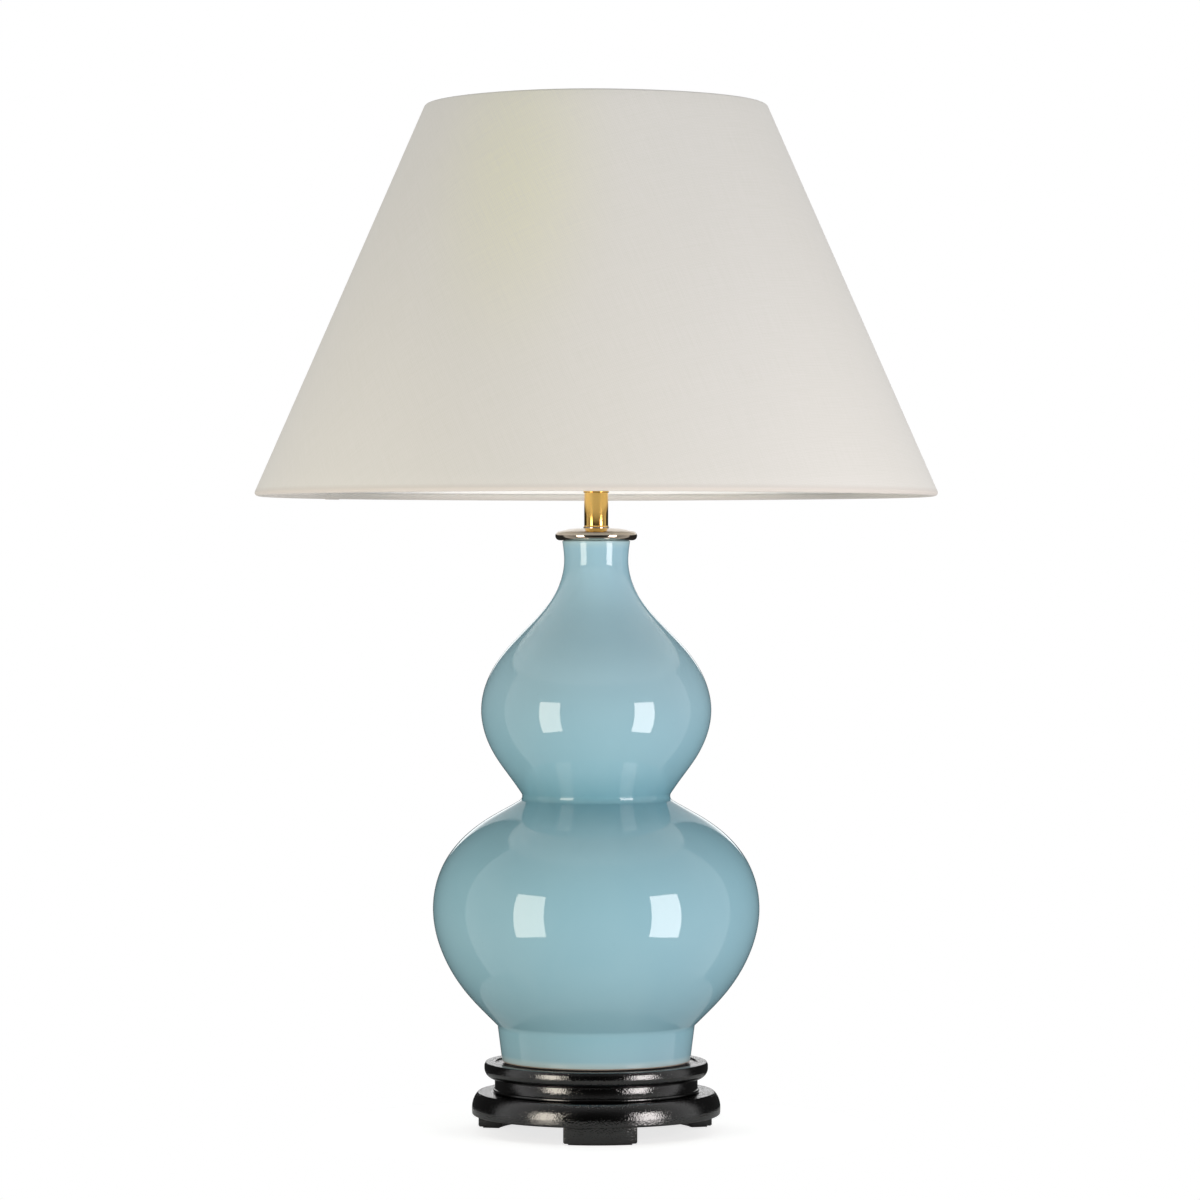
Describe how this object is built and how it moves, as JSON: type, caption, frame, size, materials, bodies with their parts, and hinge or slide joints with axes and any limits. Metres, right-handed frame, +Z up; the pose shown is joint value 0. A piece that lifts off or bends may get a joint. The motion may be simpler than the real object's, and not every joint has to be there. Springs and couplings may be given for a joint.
{
  "type": "table lamp",
  "caption": "Table lamp with a glazed double gourd vase on a footed black wooden stand, brass cap and stem, and a tapered fabric shade that lifts off its wire carrier.",
  "frame": {"origin": "on the lamp's axis, at the surface it stands on, under the felt pads of the feet", "axes": "+Z up along the lamp's axis; +Y to the back, opposite the foot that points to the front; +X to the right"},
  "size_m": [0.4972, 0.4972, 0.7482],
  "materials": {
    "black_lacquer": "glossy black lacquer with a faint orange peel",
    "black_felt": "pressed felt",
    "blue_glaze": "glossy duck-egg blue glaze",
    "black_rubber": "moulded",
    "polished_brass": "polished and lacquered",
    "plain_brass": "stamped, unpolished",
    "zinc_steel": "zinc plated",
    "black_nylon": "moulded nylon",
    "white_porcelain": "unglazed white porcelain",
    "brassed_steel": "brass plated wire",
    "white_enamel": "white epoxy",
    "ivory_fabric": "fine woven off-white cloth",
    "white_lining": "white styrene sheet",
    "opal_glass": "opal",
    "bulb_aluminium": "drawn, satin",
    "black_vitrite": "glossy black",
    "solder": "tinned"
  },
  "bodies": {
    "base": {"plinth_base": "black_lacquer", "plinth_waist": "black_lacquer", "plinth_top_ring": "black_lacquer", "foot_pads": "black_felt", "vase_seat_pad": "black_felt", "vase": "blue_glaze", "cap_gasket": "black_rubber", "vase_cap": "polished_brass", "cap_washer": "zinc_steel", "cap_nut": "zinc_steel", "stem_tube": "polished_brass", "stem_collar": "polished_brass", "tie_rod": "zinc_steel", "bottom_washer": "zinc_steel", "bottom_nut": "zinc_steel", "rod_end_bush": "black_nylon", "holder_cap": "polished_brass", "holder_lock_screw": "zinc_steel", "holder_skirt": "polished_brass", "holder_terminal_block": "white_porcelain", "terminal_screws": "plain_brass", "holder_sleeve": "white_porcelain", "screw_shell": "plain_brass", "centre_contact": "plain_brass", "contact_screw": "plain_brass"},
    "switch": {"switch_bar": "polished_brass"},
    "shade_ring": {"shade_ring": "polished_brass"},
    "carrier": {"carrier_collar": "brassed_steel", "carrier_wires": "brassed_steel", "carrier_seat_ring": "brassed_steel"},
    "shade": {"shade_fitter_ring": "white_enamel", "spider_arms": "white_enamel", "shade_top_ring": "white_enamel", "shade_bottom_ring": "white_enamel", "shade_cover": "ivory_fabric", "shade_liner": "white_lining"},
    "bulb_contact": {"bulb_tip": "solder"},
    "bulb": {"bulb_glass": "opal_glass", "bulb_cap": "bulb_aluminium", "bulb_insulator": "black_vitrite"}
  },
  "joints": [
    {"name": "carrier_swivel", "type": "hinge", "parent": "base", "child": "carrier", "pos_m": [0, 0, 0.4992], "axis": [0, 0, 1], "continuous": true},
    {"name": "shade_lift", "type": "slide", "parent": "carrier", "child": "shade", "axis": [0, 0, 1], "range_m": [0, 0.26]},
    {"name": "shade_ring_turn", "type": "hinge", "parent": "base", "child": "shade_ring", "pos_m": [0, 0, 0.5007], "axis": [0, 0, 1], "range_deg": [0, 1080]},
    {"name": "bulb_rise", "type": "slide", "parent": "base", "child": "bulb_contact", "axis": [0, 0, 1], "range_m": [0, 0.0128]},
    {"name": "bulb_turn", "type": "hinge", "parent": "bulb_contact", "child": "bulb", "pos_m": [0, 0, 0.5022], "axis": [0, 0, 1], "range_deg": [0, 1260]},
    {"name": "switch_push", "type": "slide", "parent": "base", "child": "switch", "axis": [-1, 0, 0], "range_m": [0, 0.007]}
  ],
  "couplings": [
    {"joint": "bulb_rise", "follows": "bulb_turn", "m_per_rad": 0.00057757}
  ]
}
